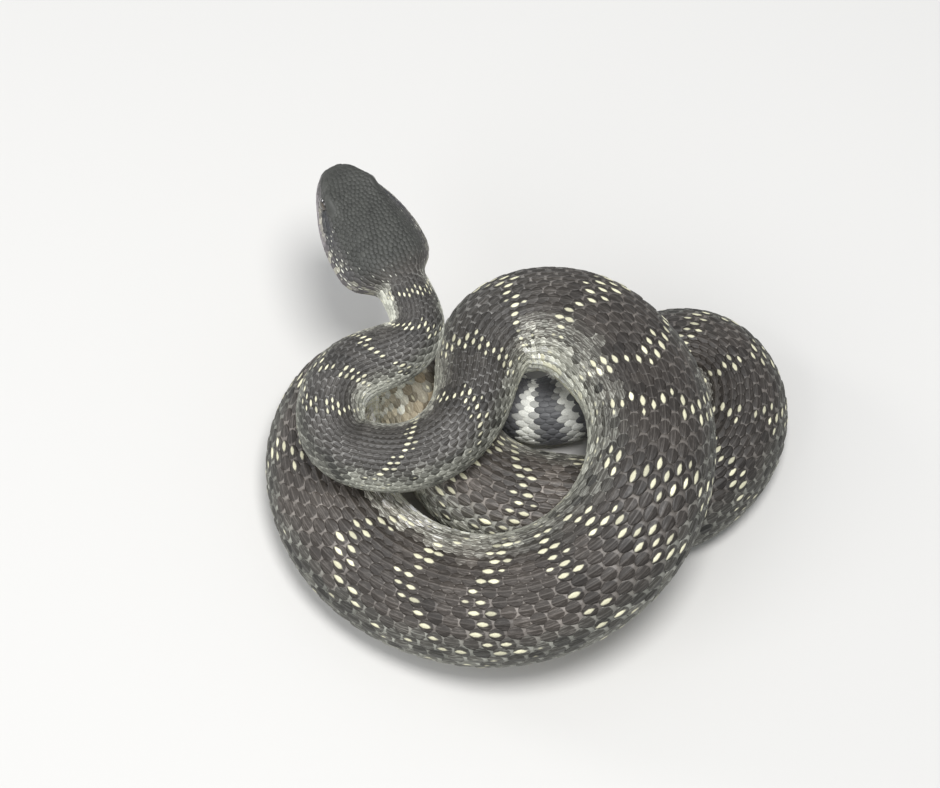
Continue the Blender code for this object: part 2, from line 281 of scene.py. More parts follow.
def head_control_net():
    """The cage of the head's solid: its stations by the points round each half."""
    net = []
    for s, brow, lip, jaw, crown, ridge, brow_height, mouth, chin in HEAD_STATIONS:
        groove = min(MOUTH_DEPTH if s < MOUTH_END else 0.15, 0.3 * lip)
        orbit = math.exp(-(((s - EYE_AT) / ORBIT_LENGTH) ** 2))
        cheek = brow + (0.62 - 0.42 * orbit) * (lip - brow)
        net.append([(s, across, height) for across, height in (
            (0.0, crown),
            (0.45 * brow, crown + 0.1 * (ridge - crown)),
            (0.82 * brow, ridge),
            (brow, brow_height),
            (cheek, 0.5 * (brow_height + mouth) + 0.8),
            (lip, mouth + 1.6),
            (lip - 0.15, mouth + MOUTH_OPENING),
            (lip - groove, mouth),
            (0.5 * (lip + jaw), mouth - MOUTH_OPENING),
            (jaw, mouth - 1.8),
            (0.72 * jaw, chin + 0.25 * (mouth - chin)),
            (0.36 * jaw, chin),
            (0.0, chin),
        )])
    return np.array(net)


def head_halves(s):
    """Half sections of the head at each distance, smooth both along and round it."""
    net = head_control_net()
    rows = bspline_to_ends(net.reshape(len(net), -1), 32)
    rings = columns_at(s, rows[:, 0], rows).reshape(len(s), -1, 3)[..., 1:]
    mirror = (-1, 1)
    closed = np.concatenate([rings[:, 1:2] * mirror, rings, rings[:, -2:-1] * mirror], axis=1)
    return [bspline(ring, U_STEPS) for ring in closed]


def make_surface():
    """Points, outward normals, half girth and head landmarks on the animal's grid."""
    solid_s = np.maximum(S_GRID, NOSE_START)
    heads = head_halves(solid_s[S_GRID < BLEND_END])
    halves = np.empty((len(S_GRID), T_HALF + 1, 2))
    girth = np.empty(len(S_GRID))
    landmarks = np.empty((len(heads), U_LAST * U_STEPS + 1))
    for i, s in enumerate(solid_s):
        share = smoothstep(BLEND_START, BLEND_END, s)
        half, total = 0.0, 0.0
        if share > 0:
            body, arc = by_arc(body_half(s))
            half, total = share * body, share * arc[-1]
        if i < len(heads):
            head, arc = by_arc(heads[i])
            landmarks[i] = arc / arc[-1]
            half, total = half + (1 - share) * head, total + (1 - share) * arc[-1]
        halves[i], girth[i] = half, total
    rounding = np.clip((S_GRID - TAIL_END + TAIL_ROUNDING) / TAIL_ROUNDING, 0, 1)
    halves *= np.sqrt(1 - 0.72 * rounding ** 2)[:, None, None]
    rings = np.concatenate([halves[:, :0:-1] * (-1, 1), halves], axis=1)
    centre, side, up = (along_line(v, solid_s)[:, None] for v in (LINE, LINE_SIDE, LINE_UP))
    points = centre + rings[..., :1] * side + rings[..., 1:] * up
    nose = S_GRID < NOSE_START
    first = points[nose.sum()].copy()
    middle = first[:-1].mean(axis=0)
    forward = -along_line(LINE_ALONG, NOSE_START)
    turn = ((NOSE_START - S_GRID[nose]) / NOSE_SPAN * math.pi / 2)[:, None, None]
    points[nose] = middle + (first - middle) * np.cos(turn) + forward * NOSE_DEPTH * np.sin(turn)
    centre[nose] = middle
    points[..., 2] = np.maximum(points[..., 2], FLOOR_CLEAR)
    lengthways, round_ways = np.gradient(points, axis=(0, 1))
    round_ways[:, 0] = round_ways[:, -1] = points[:, 1] - points[:, -2]
    normals = np.cross(round_ways, lengthways)
    flat = np.linalg.norm(normals, axis=2) < 1e-5
    outwards = unit(points - centre)
    normals = unit(normals)
    normals *= np.sign((normals * outwards).sum())
    normals[flat] = outwards[flat]
    normals[0] = forward
    return points, normals, girth, landmarks, (first, middle)


POINTS, NORMALS, HALF_GIRTH, LANDMARKS, NOSE_RING = make_surface()
STRETCH = np.linalg.norm(np.gradient(POINTS, S_STEP, axis=0), axis=2)


def in_table(values, s, column):
    """Values between the rows of a grid by their distance and its columns by their number."""
    row = np.clip((s - S_FIRST) / S_STEP, 0, len(values) - 1.001)
    i, j = row.astype(int), np.minimum(column.astype(int), values.shape[1] - 2)
    spread = (...,) + (None,) * (values.ndim - 2)
    a, b = (row - i)[spread], (column - j)[spread]
    low, high = (values[k, j] * (1 - b) + values[k, j + 1] * b for k in (i, i + 1))
    return low * (1 - a) + high * a


def on_grid(values, s, t):
    """Values of the surface's grid at any places."""
    return in_table(values, s, ((t + 1) % 2) * T_HALF)


def surface(s, t, height):
    """Points at a height over the animal's surface."""
    points = on_grid(POINTS, s, t) + unit(on_grid(NORMALS, s, t)) * np.asarray(height)[..., None]
    points[..., 2] = np.maximum(points[..., 2], 0.0)
    return points


def half_girth(s):
    return np.interp(s, S_GRID, HALF_GIRTH)


def head_t(s, u):
    """Part of the half girth at a landmark of the head: 3 brow, 6 lip, 7 mouth, 9 jaw."""
    return in_table(LANDMARKS, np.asarray(s, float), np.clip(u, 0, U_LAST - 0.001) * U_STEPS)


def head_u(s, t):
    """Landmark of the head at a part of the half girth."""
    s, side = np.broadcast_arrays(s, np.abs(t))
    low, high = np.zeros(s.shape), np.full(s.shape, float(U_LAST))
    for _ in range(12):
        middle = 0.5 * (low + high)
        above = head_t(s, middle) < side
        low, high = np.where(above, middle, low), np.where(above, high, middle)
    return 0.5 * (low + high)


# Hollows of the head: the eye's opening, the nostril and the heat pit, each by its place, how
# it leans forward and up, its radius and its depth
HOLLOW_KINDS = (
    ((EYE_AT, EYE_OUT, EYE_UP), (0.0, 0.10), 2.0, 1.5),
    (NOSTRIL, (-0.45, 0.1), 0.62, 0.9),
    (PIT, (-0.30, 0.0), 0.85, 1.1),
)


def head_hollows():
    hollows = []
    for side in (1, -1):
        for (s, out, up_by), (along_by, lean), radius, depth in HOLLOW_KINDS:
            place = body_frame(s, side * out, up_by)
            axis = (
                along_line(LINE_SIDE, s) * side + along_line(LINE_ALONG, s) * along_by
                + along_line(LINE_UP, s) * lean
            )
            hollows.append((place, axis / np.linalg.norm(axis), radius, depth))
    return hollows


HOLLOWS = head_hollows()


def from_axis(points, place, axis):
    """How far out along an axis points are, and how far from it."""
    offset = points - place
    out = offset @ axis
    return out, np.linalg.norm(offset - out[..., None] * axis, axis=-1)


def sink_hollows(points):
    """Push what lies in a hollow's mouth inwards."""
    points = points.copy()
    for place, axis, radius, depth in HOLLOWS:
        out, away = from_axis(points, place, axis)
        near = (away < 2 * radius) & (np.abs(out) < 6)
        fall = 1 - smoothstep(0.75 * radius, 1.12 * radius, away[near])
        points[near] -= axis * (depth * fall)[:, None]
    return points


# Markings, shared by the skin and the scales.
# Pale bands: distance from the snout on the middle of the back, and how much further
# towards the tail they lie at the animal's left and right shoulder
BANDS = np.array([
    (56, -3, -1), (69, 2, -2), (84, 5, -4), (98, 2, -5), (111, -3, -2), (151, -8, 6),
    (177, -3, -2), (200, -4, -2), (224, -9, -2), (253, -4, -3), (278, -2, -6),
    (302, -4, -2), (324, -2, -1), (341, 6, -3), (363, 1, -3), (395, -6, -3),
    (424, -8, -11), (455, -9, -15), (487, -5, 5), (515, -3, -2), (541, 0, -4),
    (566, -3, -3), (591, 0, 1), (612, -3, -8), (636, -4, -2), (661, 1, -2),
    (686, -2, 2), (706, 4, -1), (727, -2, -1), (748, -6, 0), (767, -2, -2),
    (784, 0, -1), (799, 0, 1), (812, 1, 0), (824, -1, 0), (835, 0, 0), (845, 0, 0),
    (854, 0, 0), (863, 0, 0), (871, 0, 0),
], float)
SHOULDER = 0.25
BAND_PHASES = rng.uniform(0, 2 * math.pi, (len(BANDS), 2))
ROWS = 27
ROWS_REACH = 0.77
LONG_BY_WIDE = 1.45
TAIL_START = 775.0
PATCH_WAVES = rng.normal(0, 1, (14, 2)) * 2.2
PATCH_PHASES = rng.uniform(0, 2 * math.pi, 14)

# Stretches of the body: distances where they start, are full, begin to fade and end
BARE_NECK = (46, 52, 64, 80)
OUTER_COIL = (195, 225, 475, 510)
ARCH = (210, 225, 258, 275)
ARCH_RIM = (208, 222, 268, 290)
UNDER_LOOP = (510, 532, 564, 592)
LOOP_GAP = (512, 526, 572, 588)
RIGHT_COIL = (605, 640, 720, 755)
# Where parts of the skin start and are full, round the body, and on the head by its landmarks
FLANK_FROM = (0.19, 0.33)
LOW_FLANK_FROM = (0.35, 0.60)
BELLY_FROM = (0.68, 0.80)
FACE_FROM = (3.3, 4.0)
LIP_FROM = (4.3, 5.0)
THROAT_FROM = (7.3, 9.4)
MOUTH_U = 7.0

# How deep the colours are along the body, partly the animal's own tone and partly painted light and
# shade, and the painted light and shade that make the skin paler or darker on the coil's inner side
TONE_AND_PAINTED_LIGHT_AT = (60, 105, 215, 255, 330, 370, 395, 440, 545, 570, 640, 670, 740)
TONE_AND_PAINTED_LIGHT = (0.84, 1.10, 1.12, 0.83, 0.76, 1.15, 1.30, 1.08, 1.08, 1.60, 1.45, 0.60, 0.90)
# Painted light and shade on the coil's inner side, by distance from the snout
INNER_PAINTED_LIGHT_AT = (205, 220, 260, 300, 340, 375, 410, 450, 490, 530, 570, 640, 665)
INNER_PAINTED_LIGHT = (1, 1.40, 1.05, 0.76, 0.55, 0.75, 1.7, 2.8, 3.4, 4.0, 1.8, 1.3, 1)

# Colours, linear: dark blotch, net between scales, flank, belly, head, tail, spots, eye, horn
DARK = np.array((0.0332, 0.0276, 0.0230))
NET = np.array((0.168, 0.150, 0.134))
NECK_TINT = np.array((1.0, 1.08, 1.13))
FLANK = np.array((0.072, 0.067, 0.057))
FLANK_NET = np.array((0.35, 0.35, 0.305))
LOW_FLANK = np.array((0.28, 0.28, 0.235))
LOW_NET = np.array((0.70, 0.70, 0.60))
BELLY_PALE = np.array((0.58, 0.53, 0.40))
# The tan of the flank in the loop's gap, made paler as painted light where the loop above shades it
TAN = np.array((0.215, 0.170, 0.105))
HEAD_TOP = np.array((0.043, 0.044, 0.039))
HEAD_NET = np.array((0.055, 0.056, 0.050))
HEAD_STRIPE = np.array((0.018, 0.020, 0.023))
HEAD_PALE = np.array((0.58, 0.56, 0.43))
# Pale lip: its own pale grey, with a lilac tint that is a painted reflection of the sky
LIP_AND_SKY_REFLECTION = np.array((0.180, 0.165, 0.170))
TAIL_GREY = np.array((0.095, 0.096, 0.100))
TAIL_WHITE = np.array((0.76, 0.76, 0.70))
CREAM = np.array((0.76, 0.73, 0.52))
HEAD_CREAM = np.array((0.66, 0.66, 0.56))
IRIS_DARK = (0.028, 0.023, 0.017)
IRIS_BRONZE = (0.075, 0.060, 0.042)
IRIS_FLECK = (0.030, 0.024, 0.018)
PUPIL_RIM = (0.11, 0.09, 0.065)
EYE_SURROUND = (0.020, 0.017, 0.015)
PUPIL = (0.003, 0.003, 0.003)
HORN = np.array((0.42, 0.33, 0.20))
HORN_BROWN = (0.30, 0.22, 0.13)
HORN_LINE = (0.12, 0.09, 0.06)


def scale_pitch(s):
    """Length of a scale that shows, along the body."""
    return LONG_BY_WIDE * 2 * ROWS_REACH * half_girth(s) / ROWS


def unrolled(s, t):
    """Place round the body for the markings, which are rolled round it here and there."""
    roll = (
        -0.34 * within(UNDER_LOOP, s) - 0.08 * within(OUTER_COIL, s)
        - 0.05 * within(ARCH, s) + 0.05 * within(RIGHT_COIL, s)
    )
    return wrapped(t - roll)


def patches(s, t, size):
    """Soft uneven patches over the skin, about -1 to 1."""
    x, y = s / size, t * half_girth(s) / size
    waves = sum(np.sin(a * x + b * y + c) for (a, b), c in zip(PATCH_WAVES, PATCH_PHASES))
    return waves / math.sqrt(7) / 1.6


def band_offset(s, t):
    """Distance past the nearest band's middle line, towards the tail."""
    turn = np.clip(t / SHOULDER, -1.5, 1.5)[..., None]
    middle, left, right = BANDS.T
    shift = 0.5 * (left - right) * turn + 0.5 * (left + right) * turn ** 2
    wave = 1.3 * np.sin(turn * 2.4 + BAND_PHASES[:, 0]) + 0.7 * np.sin(turn * 6 + BAND_PHASES[:, 1])
    size = np.interp(middle, (50, 250, 700, 880), (0.45, 1.0, 0.9, 0.3))
    offset = s[..., None] - (middle + shift + wave * size)
    nearest = np.abs(offset).argmin(axis=-1)
    return np.take_along_axis(offset, nearest[..., None], -1)[..., 0]


def shaded(colour, strength):
    return colour * strength[..., None]


def blend(a, b, share):
    share = share[..., None]
    return a * (1 - share) + b * share


def laid_over(pair, share, middle, edge):
    """Tones of the scales' middles and edges, with another pair laid over them."""
    return blend(pair[0], middle, share), blend(pair[1], edge, share)


def body_tones(s, t):
    """Colours of the middle and the edge of the scales on the body."""
    laid, t = t, unrolled(s, t)
    side = np.abs(t) + 0.025 * patches(s, t, 5.0)
    offset = np.abs(band_offset(s, t)) / scale_pitch(s)
    broad, fine = patches(s + 50, t, 9.0), patches(s + 90, t, 2.6)

    # Back, a little browner behind the neck and darker beside the bands
    near_band = 1 - smoothstep(0.8, 2.0, offset)
    # depth is partly the animal's own tone along the body and partly painted light and shade
    depth = np.interp(s, TONE_AND_PAINTED_LIGHT_AT, TONE_AND_PAINTED_LIGHT)
    tint = blend(NECK_TINT, np.ones(3), smoothstep(210, 260, s))
    pair = (
        shaded(DARK * tint, depth * (1.12 + 0.18 * broad - 0.30 * near_band)),
        shaded(NET * tint, depth * (1.0 + 0.18 * broad - 0.25 * near_band)),
    )

    # Where the skin is folded its pale parts bunch together, and where it is stretched they part; on
    # the coil's inner side painted light makes them paler, and painted shade darker
    crowding_and_painted_light = (1.6 - 0.6 * np.clip(on_grid(STRETCH, s, laid), 0.4, 1.6)) ** 2
    # Painted light and shade on the coil's inner side: above 1 paler, below 1 darker
    crowding_and_painted_light = crowding_and_painted_light * (1 + (np.interp(s, INNER_PAINTED_LIGHT_AT, INNER_PAINTED_LIGHT) - 1) * smoothstep(-0.15, 0.15, laid))
    spot = bell(side, 0.40, 0.08) * smoothstep(0.9, 1.9, offset)
    pair = laid_over(
        pair, smoothstep(*FLANK_FROM, side),
        shaded(FLANK, crowding_and_painted_light * (1.0 + 0.35 * fine - 0.35 * spot)),
        shaded(FLANK_NET, crowding_and_painted_light * (1.0 + 0.25 * fine - 0.25 * spot)),
    )
    early = 0.09 * (1 - smoothstep(185, 235, s))
    pair = laid_over(
        pair, smoothstep(*LOW_FLANK_FROM, side + 0.03 * fine + early),
        shaded(LOW_FLANK, crowding_and_painted_light * (1 + 0.3 * fine)), shaded(LOW_NET, crowding_and_painted_light * (1 + 0.15 * fine)),
    )

    # Cream rim of the arch, and the mosaic that shows in the loop's gap, its tan and pale blocks made
    # paler as painted light where the loop above shades them
    rim = within(ARCH_RIM, s) * within((0.33, 0.42, 0.55, 0.65), laid)
    rim = rim * smoothstep(0.0, 0.8, patches(s, t, 1.9))
    pair = laid_over(pair, 0.75 * rim, CREAM, CREAM * 1.1)
    turned = within(LOOP_GAP, s) * smoothstep(-0.15, 0.0, laid)
    blocks = smoothstep(-0.1, 0.5, patches(s + 20, t, 1.3) - 0.03 * (s - 548))
    # The pale blocks, at 1.8 times FLANK_NET, and the tan are painted light over the flank's own mosaic
    mosaic_and_painted_light = shaded(TAN, (1 - blocks) * (1 + 0.5 * fine)) + shaded(FLANK_NET * 1.8, blocks)
    pair = laid_over(pair, 0.85 * turned, mosaic_and_painted_light, mosaic_and_painted_light * 1.35)

    belly = smoothstep(*BELLY_FROM, side) * (1 - turned)
    pair = laid_over(
        pair, belly, shaded(BELLY_PALE, 1 + 0.12 * fine), shaded(BELLY_PALE, 1.1 + 0.1 * fine))
    tailward = smoothstep(TAIL_START - 30, TAIL_START + 15, s) * (1 - belly)
    pair = laid_over(pair, tailward, shaded(TAIL_GREY, 1 + 0.15 * fine), TAIL_GREY * 1.15)
    ring = 1 - smoothstep(1.0, 3.2, offset * scale_pitch(s))
    ring = ring * smoothstep(TAIL_START, TAIL_START + 12, s)
    ring = ring * (1 - belly) * np.clip(0.9 + 0.1 * fine, 0, 1)
    pair = laid_over(pair, ring, TAIL_WHITE, TAIL_WHITE * 1.1)
    bare = smoothstep(0.26, 0.38, t) + smoothstep(0.34, 0.46, -t)
    bare = bare * within(BARE_NECK, s) * np.clip(0.8 + 0.3 * fine, 0, 1)
    return laid_over(pair, 0.85 * bare, LOW_NET * 0.80, LOW_NET * 1.1)


def head_tones(s, t):
    """Colours of the middle and the edge of the scales on the head."""
    u = head_u(s, t)
    fine, broad = patches(s + 30, t, 1.6), patches(s + 10, t, 4.0)
    rear = smoothstep(38, 50, s)
    pair = (
        blend(shaded(HEAD_TOP, 1 + 0.10 * fine + 0.10 * broad), DARK * 1.4, 0.6 * rear),
        blend(shaded(HEAD_NET, 1 + 0.12 * fine + 0.08 * broad), NET * 0.62, rear),
    )
    lip = np.maximum(smoothstep(*LIP_FROM, u), 1 - smoothstep(-1.3, -0.6, s))
    face = np.maximum(smoothstep(*FACE_FROM, u), lip) * (0.35 + 0.65 * lip)
    # The lip's pale colour carries a painted reflection of the sky in its lilac tint
    lip_and_reflection_colour = shaded(LIP_AND_SKY_REFLECTION, 1 - 0.42 * smoothstep(20, 28, s))
    pair = laid_over(pair, face, shaded(lip_and_reflection_colour, 1 + 0.2 * fine), lip_and_reflection_colour * 1.3)
    cheek = bell(u, 4.65, 0.28) * within((9, 12, 17, 23), s)
    streak = 0.80 * bell(u, 5.1, 0.75) * within((25, 29, 47, 51), s)
    streak = streak * smoothstep(-0.5, 0.6, patches(s / 2.5, t, 0.9))
    pale = np.clip(0.5 * cheek + streak, 0, 1) * np.clip(0.75 + 0.5 * fine, 0, 1)
    pair = laid_over(pair, pale, HEAD_PALE, HEAD_PALE * 1.15)
    stripe = bell(u, 3.95 + 0.02 * (s - EYE_AT), 0.40) * smoothstep(EYE_AT - 1, EYE_AT + 2, s)
    stripe = stripe * (1 - 0.65 * smoothstep(19, 27, s)) * (1 - smoothstep(34, 42, s))
    pair = laid_over(pair, 0.9 * stripe, HEAD_STRIPE, HEAD_STRIPE * 1.6)
    throat = shaded(BELLY_PALE, 0.95 + 0.2 * fine)
    return laid_over(pair, smoothstep(*THROAT_FROM, u), throat, throat * 1.08)


def tones(s, t):
    """Colours of the middle and the edge of the scales anywhere on the animal."""
    pair = body_tones(s, t)
    on_head = s < BLEND_END
    share = smoothstep(45, 52, s[on_head])
    for body, head in zip(pair, head_tones(s[on_head], t[on_head])):
        body[on_head] = blend(head, body[on_head], share)
    return [np.clip(values, 0, 1) for values in pair]


# Mesh making
def make_mesh(name, points, faces, material, uv=None, layers=None):
    """A smooth mesh object from points in millimetres and arrays of faces."""
    mesh = bpy.data.meshes.new(name)
    places = np.asarray(points, float).reshape(-1, 3) * MM
    places[:, :2] -= np.array(FOOTPRINT_MIDDLE) * MM
    faces = outward(places, faces)
    counts = np.concatenate([np.full(len(some), some.shape[1]) for some in faces])
    corners = np.concatenate([some.ravel() for some in faces])
    for items, key, values in (
        (mesh.vertices, "co", places),
        (mesh.loops, "vertex_index", corners.astype(np.int32)),
        (mesh.polygons, "loop_start", running_total(counts)[:-1].astype(np.int32)),
    ):
        items.add(len(values))
        items.foreach_set(key, values.ravel())
    mesh.update(calc_edges=True)
    for layer, values in (uv or {}).items():
        data = mesh.uv_layers.new(name=layer).data
        data.foreach_set("uv", values[corners].astype(np.float32).ravel())
    for layer, values in (layers or {}).items():
        data = mesh.color_attributes.new(name=layer, type="FLOAT_COLOR", domain="POINT").data
        data.foreach_set("color", values.astype(np.float32).ravel())
    mesh.validate()
    mesh.shade_smooth()
    mesh.materials.append(material)
    return in_scene(bpy.data.objects.new(name, mesh))


def in_scene(thing):
    bpy.context.scene.collection.objects.link(thing)
    return thing


def outward(points, faces):
    """The same faces, turned so that they look out of what they close."""
    volume = 0.0
    for some in faces:
        a = points[some[:, 0]]
        for k in range(1, some.shape[1] - 1):
            volume += (a * np.cross(points[some[:, k]], points[some[:, k + 1]])).sum()
    return faces if volume > 0 else [some[:, ::-1] for some in faces]


def grid_faces(rows, columns, closed=False):
    """Quads between neighbouring rows and columns of points."""
    i = np.arange(rows - 1)[:, None] * columns
    j = np.arange(columns if closed else columns - 1)[None, :]
    after = (j + 1) % columns
    quads = np.stack([i + j, i + columns + j, i + columns + after, i + after], axis=-1)
    return quads.reshape(-1, 4)


def capped(rings, first, last):
    """Points and faces of a closed tube of rings, with a point at each end."""
    rows, columns = rings.shape[:2]
    j = np.arange(columns)
    after = (j + 1) % columns
    end = rows * columns
    foot = end - columns
    caps = [
        np.stack([np.full(columns, end), j, after], axis=1),
        np.stack([np.full(columns, end + 1), foot + after, foot + j], axis=1),
    ]
    points = np.concatenate([rings.reshape(-1, 3), [first, last]])
    return points, [grid_faces(rows, columns, closed=True)] + caps


# Materials
def add_node(tree, kind, inputs=(), **settings):
    """Outputs of a new node, whose inputs are given in order or by name."""
    node = tree.nodes.new("ShaderNode" + kind)
    for key, value in settings.items():
        setattr(node, key, value)
    for key, value in inputs.items() if isinstance(inputs, dict) else enumerate(inputs):
        feed(node.inputs[key], value)
    return [Value(socket) for socket in node.outputs]


def feed(socket, value):
    """Link an input to a value, or set it to a number or to the parts of a colour or vector."""
    if isinstance(value, Value):
        socket.id_data.links.new(value.socket, socket)
    elif isinstance(value, (int, float)):
        socket.default_value = value
    else:
        parts = [float(v) for v in value] + [1.0]
        socket.default_value = parts[:len(socket.default_value)]


def operator(operation, swapped=False):
    """A method that adds a node for one sum."""
    def calculate(*values):
        values = values[::-1] if swapped else values
        return add_node(values[-1 if swapped else 0].tree, "Math", values, operation=operation)[0]
    return calculate


class Value:
    """What a node gives, with which a material's sums can be written as plain ones."""

    def __init__(self, socket):
        self.socket = socket
        self.tree = socket.id_data

    __add__ = operator("ADD")
    __sub__ = operator("SUBTRACT")
    __rsub__ = operator("SUBTRACT", swapped=True)
    __mul__ = operator("MULTIPLY")
    __truediv__ = operator("DIVIDE")
    __pow__ = operator("POWER")
    __abs__ = operator("ABSOLUTE")
    angle_from = operator("ARCTAN2")


def new_material(name):
    """A material, its tree, its shader's inputs and the place on the object."""
    material = bpy.data.materials.new(name)
    material.use_nodes = True
    tree = material.node_tree
    place = add_node(tree, "TexCoord")[3]
    return material, tree, tree.nodes["Principled BSDF"].inputs, place


def mix(factor, a, b, mode="MIX"):
    tree = a.tree if isinstance(a, Value) else factor.tree
    return add_node(tree, "Mix", {0: factor, 6: a, 7: b}, data_type="RGBA", blend_type=mode)[2]


def ramp(value, low, high):
    """0 below low, 1 above high, and smooth between."""
    return add_node(value.tree, "MapRange", (value, low, high), interpolation_type="SMOOTHSTEP")[0]


def noise(place, size, detail=3.0):
    inputs = {"Vector": place, "Scale": size, "Detail": detail}
    return add_node(place.tree, "TexNoise", inputs)[0]


def split(vector):
    return add_node(vector.tree, "SeparateXYZ", (vector,))


def joined(*values):
    return add_node(values[0].tree, "CombineXYZ", values)[0]


def vectors(operation, a, b):
    return add_node(a.tree, "VectorMath", (a, b), operation=operation)[0]


def attribute(tree, name):
    """Colour of a layer of the mesh, and its fourth value."""
    colour, _, _, fourth = add_node(tree, "Attribute", attribute_name=name)
    return colour, fourth


def oval(x, y, power):
    return (x ** power + y ** power) ** (1 / power)


def finish(shader, base, roughness, height=None, strength=0.0, distance=0.0, **others):
    """Feed a shader: its colour, its roughness, its fine relief and what else it has."""
    feed(shader["Base Color"], base)
    feed(shader["Roughness"], roughness)
    if height:
        relief = {"Strength": strength, "Distance": distance, "Height": height}
        feed(shader["Normal"], add_node(height.tree, "Bump", relief)[0])
    for key, value in others.items():
        shader[key.replace("_", " ")].default_value = value


def scale_material(name, disc, rim, keel_shown, streaked, roughness, spot_shape, cream):
    """Scale with a dark middle, a paler edge and, where marked, a cream spot."""
    material, tree, shader, place = new_material(name)
    middle, spot_share = attribute(tree, "Middle")
    edge, random = attribute(tree, "Edge")
    local = add_node(tree, "UVMap", uv_map="ScaleUV")[0]
    x, y, _ = split(local)
    across, lengthways = abs(x * 2.0 - 1.0), y * 2.0 - 1.0
    fine, grain = noise(place, 950.0), noise(place, 2800.0, 2.0)
    wobble = fine * 0.30 - 0.15

    centre, half_width, half_length = disc
    radius = oval(across / half_width, abs(lengthways - centre) / half_length, 2.2)
    base = mix(ramp(radius + wobble, *rim), middle, edge)
    ridge = 1.0 - ramp(across, 0.03, 0.13)
    base = mix(ridge * keel_shown, base, edge)

    shift = joined(*[random * (37.0 * k) for k in (1, 2, 3)])
    streaks = noise(vectors("ADD", vectors("MULTIPLY", local, (12.0, 2.0, 1.0)), shift), 1.0, 2.0)
    paleness = ramp(edge, 0.16, 0.34)
    share = paleness * 0.35 + (streaked - 0.35)
    base = mix(ramp(streaks, 0.50, 0.66) * share, base, edge)

    reach = oval(across * spot_shape[0], abs(lengthways - 0.34) * spot_shape[1], 1.6) + wobble * 1.5
    size = reach - (spot_share * 0.75 - 0.62)
    spot = (1.0 - ramp(size, 0.55, 0.98)) * ramp(spot_share, 0.02, 0.45) * (random * 0.30 + 0.68)
    base = mix(spot, base, cream)

    tone = (random - 0.5) * (paleness * 0.32 + 0.36) + 1.0
    tone = tone * (grain * 0.7 + 0.65)
    grey = add_node(tree, "CombineColor", [tone] * 3)[0]
    base = mix(1.0, base, grey, "MULTIPLY")
    rough = fine * 0.30 + (roughness - 0.15)
    finish(shader, base, rough, grain, 0.4, 0.0001, Specular_IOR_Level=0.4)
    return material


def skin_material():
    """Soft skin between the scales, with the same markings."""
    material, tree, shader, place = new_material("skin")
    fine = noise(place, 1300.0)
    middle, edge = (attribute(tree, layer)[0] for layer in ("Middle", "Edge"))
    base = mix(ramp(fine, 0.35, 0.65) * 0.7, middle, edge)
    finish(shader, base, 0.65, fine, 0.5, 0.0002)
    return material


def eye_material():
    """Wet eye: bronze iris with fine rays, a slit pupil and a dark surround."""
    material, tree, shader, _ = new_material("eye")
    local, _ = attribute(tree, "Local")
    x, y, _ = split(local)
    radius = (x * x + y * y) ** 0.5
    rays = noise(joined(y.angle_from(x) * 7.0, radius * 5.0), 2.2, 4.0)
    flecks = noise(local, 9.0, 4.0)
    inner = 1.0 - ramp(abs(x), 0.07, 0.20)
    iris = mix(ramp(rays, 0.35, 0.65), IRIS_DARK, IRIS_BRONZE)
    iris = mix(ramp(flecks, 0.52, 0.66), iris, IRIS_FLECK)
    iris = mix(inner * 0.6, iris, PUPIL_RIM)
    iris = mix(ramp(radius, 0.50, 0.62), iris, EYE_SURROUND)
    slit = 1.0 - ramp(abs(x) / 0.085 + (abs(y) / 0.47) ** 1.7, 0.88, 1.05)
    base = mix(slit, iris, PUPIL)
    finish(shader, base, 0.12, Coat_Weight=1.0, Coat_Roughness=0.03)
    return material


def horn_material():
    """Dry horn of the rattle: tan, darker in its grooves as painted shade, finely lined."""
    material, tree, shader, place = new_material("horn")
    tint, _ = attribute(tree, "Middle")
    broad = noise(place, 420.0)
    lines = noise(vectors("MULTIPLY", place, (0.25, 1.0, 1.0)), 3800.0, 2.0)
    base = mix(ramp(broad, 0.3, 0.7), tint, HORN_BROWN)
    base = mix(ramp(lines, 0.45, 0.65) * 0.35, base, HORN_LINE)
    finish(shader, base, 0.42, lines, 0.3, 0.0001)
    return material


# Skin
NODES_OF_FLESH = ["head", "neck"] + ["body_%02d" % k for k in range(1, 15)] + ["tail"]
SKIN_AROUND = 176
SKIN_DEPTH = -0.06
# Distance between the skin's rings, on the head and on the body
HEAD_RINGS = 0.33
BODY_RINGS = 2.4


def layer_of(colours, fourth):
    """Values of a mesh's layer: a colour and a fourth value for each point."""
    return np.concatenate([colours, np.broadcast_to(fourth, len(colours))[:, None]], axis=1)


def skin_layers(s, t, spot=0.0, random=0.5):
    middle, edge = tones(s, t)
    return {"Middle": layer_of(middle, spot), "Edge": layer_of(edge, random)}


